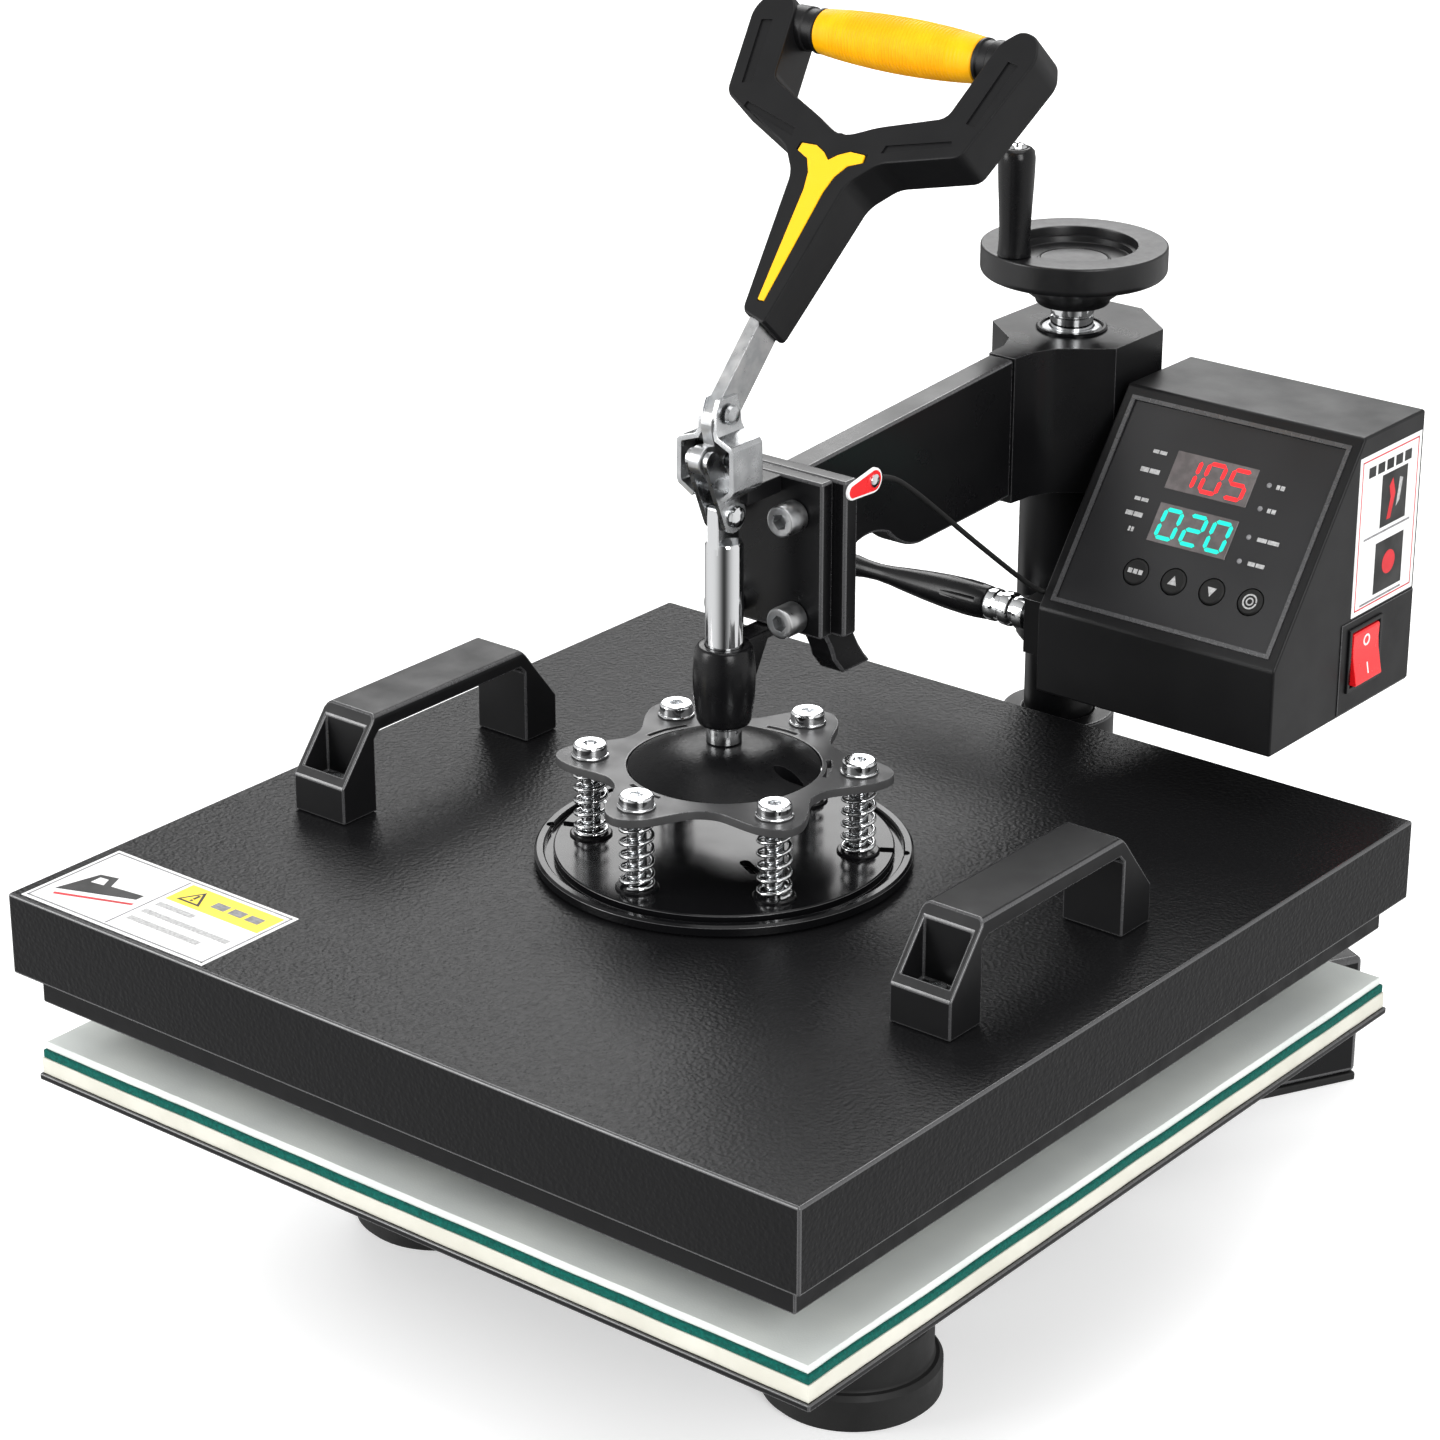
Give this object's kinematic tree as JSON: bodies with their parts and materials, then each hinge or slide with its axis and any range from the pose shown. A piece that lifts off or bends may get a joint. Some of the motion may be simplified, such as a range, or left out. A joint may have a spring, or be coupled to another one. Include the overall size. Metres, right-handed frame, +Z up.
{
  "type": "swing-away heat press",
  "caption": "Swing-away flat heat press: heated upper platen under a toggle clamp on an arm that swings round a post, above a padded lower platen, with a sloping control box.",
  "frame": {"origin": "on the floor, at the middle of the part's bounding box", "axes": "+Z up, +Y to the rear (the post), +X to the user's right (the control box side)"},
  "size_m": [0.384, 0.4962, 0.4868],
  "materials": {
    "black_coat": "black textured powder coat",
    "black_paint": "black satin paint",
    "black_plastic": "fine-grained black moulding",
    "gloss_plastic": "glossy black phenolic moulding",
    "rubber": "matt black rubber",
    "silicone": "cream silicone sheet",
    "felt": "teal felt",
    "foam": "pale grey silicone foam",
    "brass": "plain brass",
    "zinc": "bright zinc plate",
    "chrome": "polished chrome",
    "dark_aluminium": "cast aluminium with a black non-stick coat",
    "yellow_grip": "ribbed yellow grip",
    "red_tag": "red printed tag",
    "red_rocker": "red translucent rocker",
    "button_rubber": "grey keypad rubber"
  },
  "bodies": {
    "base": {"front_beam": "black_coat", "spine": "black_coat", "rear_leg_left": "black_coat", "rear_leg_right": "black_coat", "foot_front_left": "rubber", "foot_front_right": "rubber", "foot_rear_left": "rubber", "foot_rear_right": "rubber", "post": "black_paint", "lower_platen": "black_coat", "pad_silicone": "silicone", "pad_felt": "felt", "pad_foam": "foam"},
    "swivel": {"lift_nut": "brass"},
    "arm_body": {"hub": "black_coat", "arm": "black_coat", "clamp_flange": "black_paint", "flange_screw_1": "zinc", "flange_screw_2": "zinc", "flange_screw_3": "zinc", "flange_screw_4": "zinc", "clamp_fork": "zinc", "guide_bush": "black_paint", "control_shell": "black_coat", "control_face": "black_plastic", "safety_tag": "red_tag", "tag_lead": "rubber"},
    "lock": {"lock_lever": "black_plastic"},
    "wheel": {"handwheel": "gloss_plastic", "lift_screw": "chrome"},
    "crank": {"crank_grip": "black_plastic"},
    "lever": {"lever_bar": "zinc", "handle_yoke": "black_plastic", "handle_grip": "yellow_grip"},
    "link": {"toggle_link": "zinc"},
    "plunger": {"plunger_rod": "chrome", "dome_plate": "black_coat", "star_plate": "black_coat"},
    "platen": {"spring_disc": "black_coat", "bolt_1": "chrome", "bolt_2": "chrome", "bolt_3": "chrome", "bolt_4": "chrome", "bolt_5": "chrome", "bolt_6": "chrome", "spring_1": "chrome", "spring_2": "chrome", "spring_3": "chrome", "spring_4": "chrome", "spring_5": "chrome", "spring_6": "chrome", "cover": "black_coat", "heat_plate": "dark_aluminium", "cover_handle_left": "black_plastic", "cover_handle_right": "black_plastic"},
    "key_1": {"button_1": "button_rubber"},
    "key_2": {"button_2": "button_rubber"},
    "key_3": {"button_3": "button_rubber"},
    "key_4": {"button_4": "button_rubber"},
    "rocker": {"power_rocker": "red_rocker"}
  },
  "joints": [
    {"name": "swing", "type": "hinge", "parent": "base", "child": "swivel", "pos_m": [0, 0.1804, 0.3], "axis": [0, 0, 1], "range_deg": [-120, 120]},
    {"name": "lift", "type": "slide", "parent": "swivel", "child": "arm_body", "axis": [0, 0, 1], "range_m": [0, 0.01]},
    {"name": "handwheel_turn", "type": "hinge", "parent": "arm_body", "child": "wheel", "pos_m": [0, 0.1804, 0.36], "axis": [0, 0, 1], "range_deg": [0, 725]},
    {"name": "crank_spin", "type": "hinge", "parent": "wheel", "child": "crank", "pos_m": [-0.009, 0.1499, 0.39], "axis": [0, 0, 1], "continuous": true},
    {"name": "lock_turn", "type": "hinge", "parent": "arm_body", "child": "lock", "pos_m": [-0.03, 0.1474, 0.215], "axis": [1, 0, 0], "range_deg": [-30, 90]},
    {"name": "lever_turn", "type": "hinge", "parent": "arm_body", "child": "lever", "pos_m": [0, -0.0496, 0.336], "axis": [1, 0, 0], "range_deg": [0, 105]},
    {"name": "plunger_slide", "type": "slide", "parent": "arm_body", "child": "plunger", "axis": [0, 0, 1], "range_m": [-0.01895, 0]},
    {"name": "link_turn", "type": "hinge", "parent": "plunger", "child": "link", "pos_m": [0, -0.0496, 0.3139], "axis": [1, 0, 0], "range_deg": [-29, 0]},
    {"name": "float_slide", "type": "slide", "parent": "plunger", "child": "platen", "axis": [0, 0, 1], "range_m": [0, 0.005], "stiffness_N_per_m": 40000, "springref_m": -0.004, "deforming": ["spring_1", "spring_2", "spring_3", "spring_4", "spring_5", "spring_6"]},
    {"name": "key_1_press", "type": "slide", "parent": "arm_body", "child": "key_1", "axis": [0, 0.7998, -0.6003], "range_m": [0, 0.001], "stiffness_N_per_m": 800, "springref_m": -0.0005},
    {"name": "key_2_press", "type": "slide", "parent": "arm_body", "child": "key_2", "axis": [0, 0.7998, -0.6003], "range_m": [0, 0.001], "stiffness_N_per_m": 800, "springref_m": -0.0005},
    {"name": "key_3_press", "type": "slide", "parent": "arm_body", "child": "key_3", "axis": [0, 0.7998, -0.6003], "range_m": [0, 0.001], "stiffness_N_per_m": 800, "springref_m": -0.0005},
    {"name": "key_4_press", "type": "slide", "parent": "arm_body", "child": "key_4", "axis": [0, 0.7998, -0.6003], "range_m": [0, 0.001], "stiffness_N_per_m": 800, "springref_m": -0.0005},
    {"name": "rocker_tilt", "type": "hinge", "parent": "arm_body", "child": "rocker", "pos_m": [0.146, 0.1794, 0.223], "axis": [0, 1, 0], "range_deg": [0, 12]}
  ],
  "couplings": [
    {"joint": "handwheel_turn", "follows": "lift", "rad_per_m": 1256.6},
    {"joint": "plunger_slide", "follows": "lever_turn", "m_per_rad": -0.010313},
    {"joint": "link_turn", "follows": "lever_turn", "ratio": -0.275}
  ]
}
